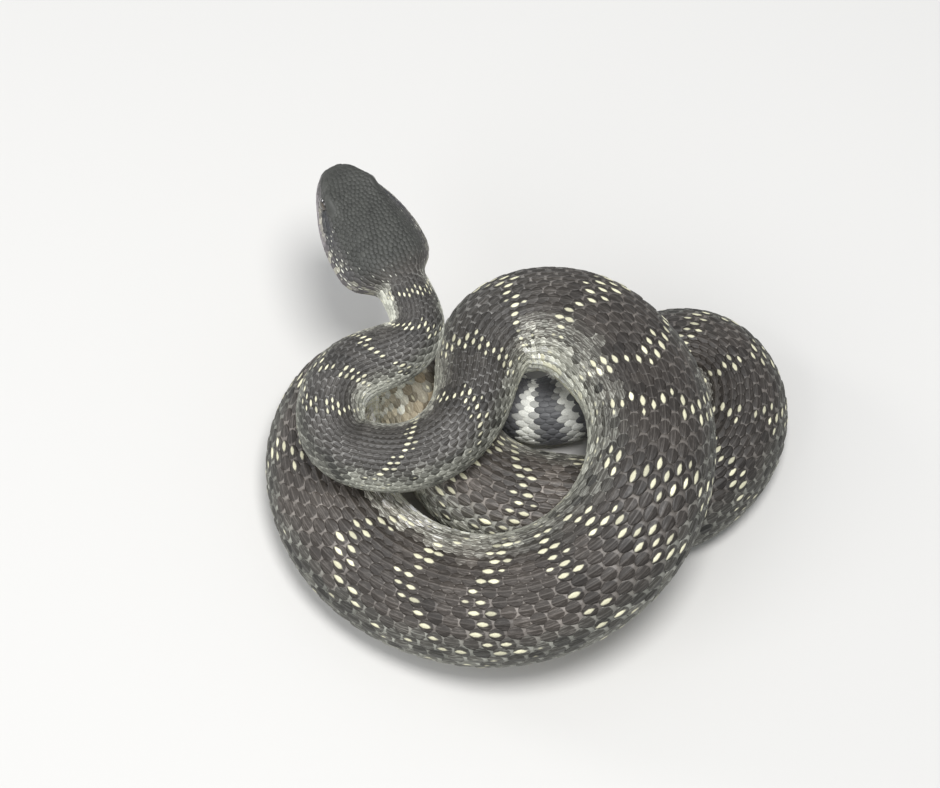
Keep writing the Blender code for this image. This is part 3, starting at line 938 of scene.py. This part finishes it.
def build_skin(material):
    """One closed skin from the snout's tip to the root of the rattle."""
    s = np.concatenate([
        NOSE_START - NOSE_SPAN * np.linspace(0.93, 0.0, 8),
        np.arange(NOSE_START + 0.25, HEAD_END, HEAD_RINGS),
        np.arange(HEAD_END, TAIL_END - TAIL_ROUNDING, BODY_RINGS),
        TAIL_END - TAIL_ROUNDING * np.linspace(1, 0.01, 6),
    ])
    t = np.linspace(-1, 1, SKIN_AROUND + 1)[:-1]
    grid_s, grid_t = np.meshgrid(s, t, indexing="ij")
    rings = surface(grid_s, grid_t, SKIN_DEPTH)
    tip = surface(np.array([S_FIRST]), np.zeros(1), SKIN_DEPTH)[0]
    points, faces = capped(rings, tip, rings[-1].mean(axis=0))
    flat_s = np.concatenate([grid_s.ravel(), [S_FIRST, TAIL_END]])
    flat_t = np.concatenate([grid_t.ravel(), [0.0, 0.0]])
    layers = skin_layers(flat_s, flat_t)
    # Painted shade in the mouth's slit: the skin darkens towards the mouth line
    in_head = flat_s < MOUTH_END + 4
    mouth = np.abs(head_u(flat_s[in_head], flat_t[in_head]) - MOUTH_U)
    for values in layers.values():
        values[in_head, :3] *= (0.12 + 0.88 * smoothstep(0.25, 0.8, mouth))[:, None]
    unwrap = np.stack([(flat_s - S_FIRST) / (TAIL_END - S_FIRST), 0.5 + 0.5 * flat_t], axis=-1)
    return make_mesh("skin", sink_hollows(points), faces, material, {"OFBake": unwrap}, layers)


# Scales. A scale's height at its root, as a share of its lift, and half the width of its keel
ROOT_HEIGHT = -0.15
KEEL_WIDTH = 0.16


def leaf_shape(lengthways, across, root_power, tip_power, widest=0.0):
    """A scale on a square from its root, -1, to its tip, 1, with the faces that close it."""
    p, q = np.meshgrid(lengthways, across, indexing="ij")
    power = np.where(p < widest, root_power, tip_power)
    past = (p - widest) / np.where(p < widest, 1 + widest, 1 - widest)
    width = (1 - np.abs(past) ** power) ** (1 / power)
    index = np.arange(p.size).reshape(p.shape)
    border = np.concatenate([index[0, :-1], index[:-1, -1], index[-1, :0:-1], index[:0:-1, 0]])
    under = p.size + np.arange(len(border))
    skirt = np.stack([border, np.roll(border, -1), np.roll(under, -1), under], axis=1)
    faces = [grid_faces(*p.shape), skirt, under[None, ::-1]]
    return p.ravel(), q.ravel(), width.ravel(), border, faces


BODY_LEAF = leaf_shape(
    (-0.97, -0.72, -0.35, 0.1, 0.5, 0.78, 0.93, 0.99),
    (-1.0, -0.62, -0.18, 0.0, 0.18, 0.62, 1.0), 2.4, 1.8, widest=-0.2,
)
HEAD_LEAF = leaf_shape((-0.96, -0.6, 0.0, 0.5, 0.84, 0.98), (-1.0, -0.55, 0.0, 0.55, 1.0), 2.4, 2.2)
PLATE = leaf_shape(
    (-0.985, -0.9, -0.7, -0.35, 0.0, 0.35, 0.7, 0.9, 0.985),
    (-1.0, -0.88, -0.55, -0.2, 0.2, 0.55, 0.88, 1.0), 4.5, 4.5,
)
SUPRAOCULAR = leaf_shape(
    np.sin(np.linspace(-1.45, 1.45, 17)), np.sin(np.linspace(-math.pi / 2, math.pi / 2, 13)), 2.6, 2.3,
)
SCUTE = leaf_shape((-0.97, -0.4, 0.4, 0.9, 0.99), np.linspace(-1, 1, 17), 8.0, 8.0)


def body_place(s, t, ds, across):
    return s + ds, t + across / half_girth(s)


def lip_place(s, u, ds, across):
    """Places on the head by landmark: u is negative on the animal's right."""
    return s + ds, np.sign(u) * head_t(s + ds, np.abs(u) + across * np.sign(u))


def nose_place(across, height, d_height, d_across):
    """Places on the snout's front by distance across it and height over the middle line."""
    first, middle = NOSE_RING
    side, up = along_line(LINE_SIDE, NOSE_START), along_line(LINE_UP, NOSE_START)
    ring_x, ring_y = (first - middle) @ side, (first - middle) @ up
    middle_height = (middle - along_line(LINE, NOSE_START)) @ up
    x, y = across - d_across, height - d_height - middle_height
    ring_angle = np.unwrap(np.arctan2(ring_x, ring_y))
    ring = np.stack([np.linspace(-1, 1, len(ring_angle)), np.hypot(ring_x, ring_y)], axis=1)
    order = np.argsort(ring_angle)
    found = columns_at(np.arctan2(x, y), ring_angle[order], ring[order])
    share = np.clip(np.hypot(x, y) / found[..., 1], 0, 1)
    return NOSE_START - NOSE_SPAN * np.arccos(share) / (math.pi / 2), found[..., 0]


def leaves(shape, a, b, length, width, place=body_place, turn=0.0, lift=0.2, rise=1.0,
           dome=0.45, keel=0.0, tilt=0.0, sunk=0.9):
    """Many scales of one shape, each at its place, as points, faces and their own maps."""
    p, q, across, border, faces = shape
    count = len(a)
    a, b, length, width, turn, lift, rise, dome, keel, tilt = (
        np.reshape(x, (-1, 1)) for x in (a, b, length, width, turn, lift, rise, dome, keel, tilt)
    )
    x, y = p * length / 2, q * across * width / 2
    s, t = place(a, b, x * np.cos(turn) - y * np.sin(turn), x * np.sin(turn) + y * np.cos(turn))
    s = np.clip(s, S_FIRST, TAIL_END)
    height = lift * (
        ROOT_HEIGHT + rise * ((p + 1) / 2) ** 1.1 + dome * (1 - q * q) * (1 - 0.5 * p ** 4)
        + keel * bell(q, 0, KEEL_WIDTH) * (1 - p ** 6) + tilt * q
    )
    low = surface(s[:, border], t[:, border], -sunk * lift)
    points = np.concatenate([surface(s, t, height), low], axis=1)
    if s.min() < MOUTH_END:
        points = sink_hollows(points)
    local = np.stack([0.5 + 0.5 * q * across, 0.5 + 0.5 * p], axis=-1)
    centre_s, centre_t = place(a[:, 0], b[:, 0], np.zeros(count), np.zeros(count))
    return {
        "points": points, "faces": faces, "local": np.concatenate([local, local[border]]),
        "s": centre_s, "t": wrapped(centre_t),
        "spot": 0.0, "random": np.clip(rng.normal(0.5, 0.22, count), 0, 1),
    }


# Size of one scale's place on the unwrap
MAP_SIZE = 0.003


def join_leaves(name, groups, material):
    """One mesh of groups of scales, with their colours and the map of the skin's unwrap."""
    parts, by_size = [], {}
    base = 0
    s_all = np.concatenate([g["s"] for g in groups])
    start, length = s_all.min(), max(np.ptp(s_all), 1.0)
    for g in groups:
        count, each = g["points"].shape[:2]
        offset = (base + np.arange(count) * each)[:, None, None]
        for some in g["faces"]:
            sides = some.shape[1]
            by_size.setdefault(sides, []).append((offset + some).reshape(-1, sides))
        base += count * each
        root = np.stack([0.01 + 0.98 * (g["s"] - start) / length, 0.5 + 0.49 * g["t"]], axis=-1)
        layers = skin_layers(g["s"], g["t"], g["spot"], g["random"])
        parts.append((
            g["points"].reshape(-1, 3),
            (root[:, None] + (g["local"] - 0.5) * MAP_SIZE).reshape(-1, 2),
            np.tile(g["local"], (count, 1)),
            *(np.repeat(values, each, axis=0) for values in layers.values()),
        ))
    points, bake, local, middle, edge = map(np.concatenate, zip(*parts))
    faces = [np.concatenate(some) for some in by_size.values()]
    uv = {"OFBake": bake, "ScaleUV": local}
    return make_mesh(name, points, faces, material, uv, {"Middle": middle, "Edge": edge})


def body_scale_places(start, end):
    """Places of the scales on the body: straight rows, each half a scale behind the last."""
    fine = np.arange(start, end, 0.1)
    number = running_total(0.1 / scale_pitch(fine))[:-1]
    places = []
    for row in range(-(ROWS // 2), ROWS // 2 + 1):
        s = np.interp(np.arange(0.5 * (row % 2), number[-1], 1.0), number, fine)
        t = np.full(len(s), row / ROWS * 2 * ROWS_REACH)
        places.append(np.stack([s, t, np.full(len(s), abs(row))], axis=1))
    return np.concatenate(places)


def band_spots(s, t):
    """How much of each scale is cream: one scale of each row in a band, and some beside it."""
    t = unrolled(s, t)
    side = np.abs(t)
    offset = np.abs(band_offset(s, t) / scale_pitch(s))
    chance, strength = rng.uniform(0, 1, (2, len(s)))
    tailward = smoothstep(TAIL_START - 25, TAIL_START + 15, s)
    main = (offset < 0.66) & (chance > 0.05)
    beside = (offset >= 0.66) & (offset < 1.1) & (chance < 0.16 + 0.25 * bell(t, 0, 0.10))
    spot = np.where(main, 0.68 + 0.35 * strength, 0) + np.where(beside, 0.35 + 0.45 * strength, 0)
    spot = spot * (1 - smoothstep(0.31, 0.39, side)) * (1 - tailward)
    stray = (side > 0.30) & (side < 0.62) & (chance < 0.10 + 0.35 * (offset < 0.9))
    return np.maximum(spot, np.where(stray, 0.20 + 0.40 * strength, 0) * (1 - tailward))


# A body scale's length and lift by the length that shows, its width by its row's, and its keel
# by its lift
LENGTH_SHARE = 1.33
WIDTH_SHARE = 1.42
LIFT_SHARE = 0.075
KEEL_SHARE = 0.70
# Distances at which the body's scales are parted into pieces
PIECE_BORDERS = (0, 110, 215, 290, 350, 412, 480, 560, 640, 725, 800, TAIL_END + 1)


def build_body_scales(material):
    s, t, row = body_scale_places(HEAD_END + 1.4, TAIL_END - 1.0).T
    jitter = rng.normal(0, 1, (len(s), 3))
    pitch = scale_pitch(s)
    width = 2 * ROWS_REACH * half_girth(s) / ROWS
    s = s + 0.03 * pitch * jitter[:, 0]
    stretch = np.clip(on_grid(STRETCH, s, t), 0.5, 1.8)
    length = pitch * (LENGTH_SHARE + 0.03 * jitter[:, 1]) * stretch ** -0.75
    width = width * (WIDTH_SHARE + 0.10 * smoothstep(9, 12.5, row) + 0.02 * jitter[:, 2])
    keel = KEEL_SHARE * (1 - smoothstep(9.5, 12.5, row))
    lift = pitch * (LIFT_SHARE - 0.030 * smoothstep(TAIL_START - 20, TAIL_START + 15, s))
    spot = band_spots(s, t)
    pieces = []
    for k, (start, end) in enumerate(zip(PIECE_BORDERS, PIECE_BORDERS[1:])):
        here = (s >= start) & (s < end)
        group = leaves(
            BODY_LEAF, s[here], t[here], length[here], width[here], lift=lift[here], keel=keel[here])
        group["spot"] = spot[here]
        pieces.append(join_leaves("scales_%d" % (k + 1), [group], material))
    return pieces


def build_scutes(material):
    """Broad plates across the belly, and narrower ones under the tail."""
    fine = np.arange(HEAD_END + 2, TAIL_END - 2.0, 0.1)
    number = np.cumsum(0.1 / scale_pitch(fine))
    s = np.interp(np.arange(1, number[-1]), number, fine)
    pitch = scale_pitch(s)
    width = 2 * (1 - ROWS_REACH + 0.015) * half_girth(s)
    group = leaves(
        SCUTE, s, np.ones(len(s)), 1.35 * pitch, width, lift=0.05 * pitch, dome=0.1, rise=0.9)
    return join_leaves("belly_scutes", [group], material)


# Plates and small scales of the head
def both_sides(a, b, *others):
    """The same places on the animal's left and right, with their other values doubled."""
    b = np.asarray(b, float)
    return [np.tile(a, 2), np.concatenate([b, -b])] + [np.tile(values, 2) for values in others]


def eye_ring():
    """Small scales round each eye."""
    groups = []
    count, radius = 14, 2.62
    angle = np.linspace(0, 2 * math.pi, count + 1)[:-1] + 0.15
    for side in (1, -1):
        s = np.linspace(EYE_AT - 5, EYE_AT + 5, 161)[:, None]
        t = side * np.linspace(0.1, 0.75, 201)[None]
        place, axis = eye_axis(side)
        out, away = from_axis(on_grid(POINTS, *np.broadcast_arrays(s, t)), place, axis)
        away[out < 0] = np.inf
        i, j = np.unravel_index(away.argmin(), away.shape)
        ring_s = s[i, 0] + radius * np.cos(angle)
        ring_t = t[0, j] + radius * np.sin(angle) / half_girth(s[i, 0])
        groups.append(leaves(
            HEAD_LEAF, ring_s, ring_t, 1.35, 1.28, turn=angle, lift=0.20, rise=0.2, dome=1.0, sunk=2.0))
    return groups


# Middles of the larger plates: distance from the snout and landmark
BROW_PLATE = (13.1, 2.55)
CANTHAL_PLATES = ((8.0, 5.2), (2.6, 2.7))
NASAL_PLATES = ((2.0, 4.5), (4.0, 4.1))
# Distance from the snout, and distance from the middle of the back
SNOUT_PLATES = ((2.7, 2.9), (0.95, 2.85))
# Rows of lip plates: where they start and end, and their landmarks
LIP_ROWS = ((1.7, 37.0, 4.85, 6.52), (1.5, 36.0, 7.50, 9.15))
LIP_COUNT = 15


def head_plates():
    """The larger plates of the head: brows, snout, nostrils and lips."""
    brow_s, brow_u = ([value] for value in BROW_PLATE)
    groups = [leaves(
        SUPRAOCULAR, *both_sides(brow_s, head_t(brow_s, brow_u), [8.2], [4.3]), turn=[0.10, -0.10],
        lift=0.42, rise=0.35, dome=0.55, tilt=[0.55, -0.55], sunk=1.6)]
    snout_s, snout_across = SNOUT_PLATES
    for s, t, length, width, lift, rise in (
        (CANTHAL_PLATES[0], head_t(*CANTHAL_PLATES), (3.0, 2.8), (2.5, 2.3), 0.22, 0.3),
        (snout_s, snout_across / half_girth(snout_s), (2.5, 2.4), (1.85, 1.9), 0.2, 0.3),
        (NASAL_PLATES[0], head_t(*NASAL_PLATES), (2.3, 2.5), (2.7, 2.6), 0.2, 0.2),
    ):
        groups.append(leaves(PLATE, *both_sides(s, t, length, width), lift=lift, rise=rise, dome=0.8))
    # Front of the snout: the middle plate, the lip plate under it and two on each side
    groups.append(leaves(
        PLATE, (0.0, 0.0, 2.35, -2.35, 2.0, -2.0), (-0.15, -3.15, -0.9, -0.9, -3.0, -3.0),
        (3.5, 1.5, 2.2, 2.2, 1.6, 1.6), (3.0, 2.2, 1.7, 1.7, 1.9, 1.9), place=nose_place,
        lift=0.2, rise=0.2, dome=0.9))
    height, across, tall, wide = both_sides(
        (1.75, 1.45, 0.60), (0.80, 2.35, 2.35), (0.9, 1.0, 1.3), (1.6, 1.5, 1.6))
    groups.append(leaves(
        HEAD_LEAF, across, height, tall, wide, place=nose_place, lift=0.12, rise=0.1, dome=0.8))
    for first, last, u_top, u_low in LIP_ROWS:
        edges = np.linspace(first, last, LIP_COUNT + 1)
        s = 0.5 * (edges[1:] + edges[:-1])
        u = np.full(LIP_COUNT, 0.5 * (u_top + u_low))
        groups.append(leaves(
            PLATE, *both_sides(s, u), 1.10 * (last - first) / LIP_COUNT, u_low - u_top,
            place=lip_place, lift=0.22, rise=0.35, dome=0.75, sunk=1.5))
    return groups


def head_scale_gap(s, t):
    """Room that one small head scale takes."""
    top = np.interp(s, (0, 8, 13, 24, 38, 50), (1.75, 1.6, 1.45, 1.5, 1.75, 1.95))
    return top * (1 + 0.18 * smoothstep(3.2, 4.4, head_u(s, t)))


def head_taken(s, t):
    """Places that the plates, the lips, the eyes and the hollows take."""
    u = head_u(s, t)
    y = np.abs(t) * half_girth(s)
    taken = (u > 4.75) & (u < 9.25) & (s < 37.6)
    taken |= s < 1.7
    taken |= (s < 3.7) & (u < 3.0)
    for middle, landmark, half_length, half_width in (
        (*BROW_PLATE, 3.8, 2.05), (8.0, 2.6, 1.35, 1.2), (5.2, 2.7, 1.3, 1.1),
        (3.2, 4.0, 2.4, 1.2), (EYE_AT, 4.0, 3.0, 3.0), (PIT[0], 4.35, 1.0, 0.9),
    ):
        centre = head_t(middle, landmark) * half_girth(middle)
        taken |= ((s - middle) / half_length) ** 2 + ((y - centre) / half_width) ** 2 < 1
    return taken


def head_scale_places():
    """Small scales spread evenly over the rest of the head, by throwing and pushing apart."""
    thrown, closest = 26000, 0.80
    rounds, reach, pace, small = 40, 0.53, 0.22, 0.05
    s = rng.uniform(1.0, HEAD_END + 1.0, thrown)
    t = rng.uniform(-1, 1, thrown)
    free = ~head_taken(s, t)
    s, t = s[free], t[free]
    gap = head_scale_gap(s, t)
    at = on_grid(POINTS, s, t)
    kept = []
    for k in range(len(s)):
        if (np.linalg.norm(at[kept] - at[k], axis=1) >= closest * gap[k]).all():
            kept.append(k)
    s, t = s[kept], t[kept]
    for _ in range(rounds):
        at = on_grid(POINTS, s, t)
        gap = head_scale_gap(s, t)
        apart = at[:, None] - at[None]
        distance = np.linalg.norm(apart, axis=2) + 1e-6
        np.fill_diagonal(distance, np.inf)
        push = np.clip(reach * (gap[:, None] + gap[None]) - distance, 0, None) / distance
        move = pace * (apart * push[..., None]).sum(axis=1)
        d_s = (on_grid(POINTS, s + small, t) - on_grid(POINTS, s - small, t)) / (2 * small)
        d_t = on_grid(POINTS, s, t + small * 0.1) - on_grid(POINTS, s, t - small * 0.1)
        d_t /= 0.2 * small
        by_s, by_t = ((move * d).sum(1) / (d ** 2).sum(1) for d in (d_s, d_t))
        new_s, new_t = np.clip(s + by_s, 1.2, HEAD_END + 1.2), wrapped(t + by_t)
        allowed = ~head_taken(new_s, new_t)
        s, t = np.where(allowed, new_s, s), np.where(allowed, new_t, t)
    return s, t


def head_spots(s, u):
    """Cream flecks: a broken double streak along the jaw, and small ones over the back."""
    chance, strength = rng.uniform(0, 1, (2, len(s)))
    lower = (np.abs(u - 4.62) < 0.34) & (s > 26) & (s < 49)
    upper = (np.abs(u - 4.10) < 0.20) & (s > 29) & (s < 36)
    streak = (lower | upper) & (chance < 0.92)
    side = within((2.8, 3.6, 4.9, 5.3), u) * smoothstep(14, 24, s)
    fleck = chance < 0.25 * smoothstep(39, 45, s) + 0.32 * side
    return np.where(streak, 0.50 + 0.45 * strength, np.where(fleck, 0.14 + 0.26 * strength, 0))


def build_head_scales(material):
    s, t = head_scale_places()
    gap = head_scale_gap(s, t)
    u = head_u(s, t)
    back = smoothstep(18, 40, s)
    small = leaves(
        HEAD_LEAF, s, t, gap * (1.30 + 0.14 * back), gap * 1.14, lift=0.10 * gap,
        keel=0.65 * smoothstep(6, 16, s) * (1 - smoothstep(4.0, 6.0, u)),
        rise=0.75 + 0.25 * back, dome=0.75, sunk=1.4,
    )
    small["spot"] = head_spots(s, u)
    small_piece = join_leaves("head_scales", [small], material)
    return [small_piece, join_leaves("head_plates", head_plates() + eye_ring(), material)]


# Eyes and rattle
def eye_axis(side):
    """Middle of the eye on the animal's left, 1, or right, -1, and the way that it looks."""
    place, axis, _, _ = HOLLOWS[0 if side > 0 else len(HOLLOW_KINDS)]
    return place, axis


def build_eye(name, side, material):
    """A ball turned outwards, with its pattern's own axes kept on it."""
    place, axis = eye_axis(side)
    up = along_line(LINE_UP, EYE_AT)
    up = unit(up - axis * (up @ axis))
    rings, sides = 40, 56
    turn = np.linspace(0, math.pi, rings + 1)[1:-1, None]
    angle = np.arange(sides) / sides * 2 * math.pi
    ball = np.stack([
        np.sin(turn) * np.cos(angle), np.sin(turn) * np.sin(angle), np.cos(turn) + 0 * angle,
    ], axis=-1)
    local, faces = capped(ball, (0, 0, 1.0), (0, 0, -1.0))
    points = place + EYE_RADIUS * local @ np.array([np.cross(up, axis), up, axis])
    return make_mesh(name, points, faces, material, layers={"Local": layer_of(local, 1.0)})


# Along one segment of the rattle, its share and how full it is there
RATTLE_PROFILE = (
    (0.00, 0.72), (0.05, 0.86), (0.13, 0.955), (0.26, 1.00), (0.42, 0.995), (0.53, 0.955),
    (0.62, 0.915), (0.70, 0.925), (0.78, 0.92), (0.86, 0.86), (0.93, 0.77),
)
# The last segment's rounded end: millimetres past it and how full it is there
RATTLE_TIP = ((-0.15, 0.66), (0.10, 0.60), (0.27, 0.42), (0.33, 0.18))


def build_rattle(material):
    """A string of loose horny rings, taller than wide, with a groove along each side."""
    sides = 64
    angle = 2 * math.pi * np.arange(sides) / sides
    groove = 1 - 0.22 * np.exp(-((np.cos(angle) / 0.3) ** 2))
    start = TAIL_END + 0.15
    rows, tints_and_groove_shade = [], []
    for segment in range(RATTLE_SEGMENTS):
        taper = 1.0 - 0.022 * segment
        for share, swell in RATTLE_PROFILE:
            rows.append((start + (segment + share) * RATTLE_PITCH, swell * taper))
            # Painted shade darkens the horn where each segment narrows into the next; segments further
            # along are paler
            tints_and_groove_shade.append((0.35 + 0.65 * smoothstep(0.75, 0.97, swell)) * (0.75 + 0.05 * segment))
    end = start + RATTLE_SEGMENTS * RATTLE_PITCH
    rows += [(end + past, swell * taper) for past, swell in RATTLE_TIP]
    tints_and_groove_shade += [0.8] * len(RATTLE_TIP)
    across = RATTLE_HALF_WIDTH * np.sin(angle) * groove
    height = RATTLE_HALF_HEIGHT * np.cos(angle)
    rings = np.array([
        body_frame(s, (across * swell)[:, None], (height * swell)[:, None]) for s, swell in rows])
    rings[..., 2] = np.maximum(rings[..., 2], 0.0)
    points, faces = capped(rings, rings[0].mean(axis=0), rings[-1].mean(axis=0))
    tint = np.outer(np.concatenate([np.repeat(tints_and_groove_shade, sides), [0.5, 0.5]]), HORN)
    layer = {"Middle": layer_of(tint, 1.0)}
    return make_mesh("rattle_horn", points, faces, material, layers=layer)


# Camera, light and floor. Each light by its name, place in metres, size and power
LIGHTS = (
    ("key", (0.10, -0.12, 1.2), 0.40, 13.0),
    ("fill", (-0.8, -0.5, 0.9), 0.9, 5.0),
    ("low", (-0.96, 0.43, 0.38), 0.35, 2.5),
)
LIT_POINT = (0, 0, 0.03)
FLOOR_SIZE = 6.0
FLOOR_GREY = (0.60, 0.59, 0.57)
SKY = (0.9, 0.94, 1.0)


def place_camera():
    data = bpy.data.cameras.new("camera")
    data.lens = LENS
    data.sensor_width = SENSOR
    data.clip_start = 0.05
    camera = in_scene(bpy.data.objects.new("camera", data))
    turn = Matrix.Rotation(math.pi / 2 - CAMERA_TILT, 4, "X")
    right, down = FLOOR_PIXEL[0] - IMAGE[0] / 2, FLOOR_PIXEL[1] - IMAGE[1] / 2
    floor = turn @ Vector((right, -down, -LENS / SENSOR * IMAGE[0])) * MM_PER_PIXEL
    place = -floor - Vector((*FOOTPRINT_MIDDLE, 0))
    camera.matrix_world = Matrix.Translation(place * MM) @ turn
    bpy.context.scene.camera = camera


def area_light(name, place, size, power):
    data = bpy.data.lights.new(name, "AREA")
    data.shape = "DISK"
    data.size = size
    data.energy = power
    light = in_scene(bpy.data.objects.new(name, data))
    light.location = place
    aim = Vector(LIT_POINT) - light.location
    light.rotation_euler = aim.to_track_quat("-Z", "Y").to_euler()


def build_stage():
    bpy.ops.mesh.primitive_plane_add(size=FLOOR_SIZE, location=(0, 0, -0.0002))
    floor = bpy.context.object
    floor.name = "floor"
    material, _, shader, _ = new_material("floor")
    finish(shader, FLOOR_GREY, 0.8)
    floor.data.materials.append(material)
    for light in LIGHTS:
        area_light(*light)
    world = bpy.data.worlds.new("studio")
    bpy.context.scene.world = world
    world.use_nodes = True
    colour, strength = world.node_tree.nodes["Background"].inputs[:2]
    feed(colour, SKY)
    feed(strength, 0.50)
    bpy.context.scene.view_settings.view_transform = "Standard"


def main():
    place_camera()
    build_stage()
    skin_piece = build_skin(skin_material())
    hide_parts(*NODES_OF_FLESH)
    body_horn = scale_material(
        "body scales", (0.20, 0.96, 0.80), (0.88, 1.02), 0.30, 0.70, 0.50, (2.7, 1.5), CREAM)
    head_horn = scale_material(
        "head scales", (0.0, 1.0, 1.0), (0.62, 0.95), 0.0, 0.45, 0.55, (3.4, 1.2), HEAD_CREAM)
    belly_horn = scale_material(
        "belly scutes", (0.0, 1.0, 1.0), (0.88, 1.02), 0.0, 0.35, 0.40, (2.5, 1.65), CREAM)
    eyes = eye_material()
    pieces = {
        "body_scales": [skin_piece] + build_body_scales(body_horn) + [build_scutes(belly_horn)],
        "head_scales": build_head_scales(head_horn),
        "eye": [],
        "rattle": [build_rattle(horn_material())],
    }
    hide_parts("rattle")
    for side_name, side in (("left", 1), ("right", -1)):
        eye = build_eye("eyeball_" + side_name, side, eyes)
        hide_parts("eye_" + side_name)
        pieces["eye"].append(eye)
    for slot, some in pieces.items():
        for piece in some:
            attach(piece, "root")


main()
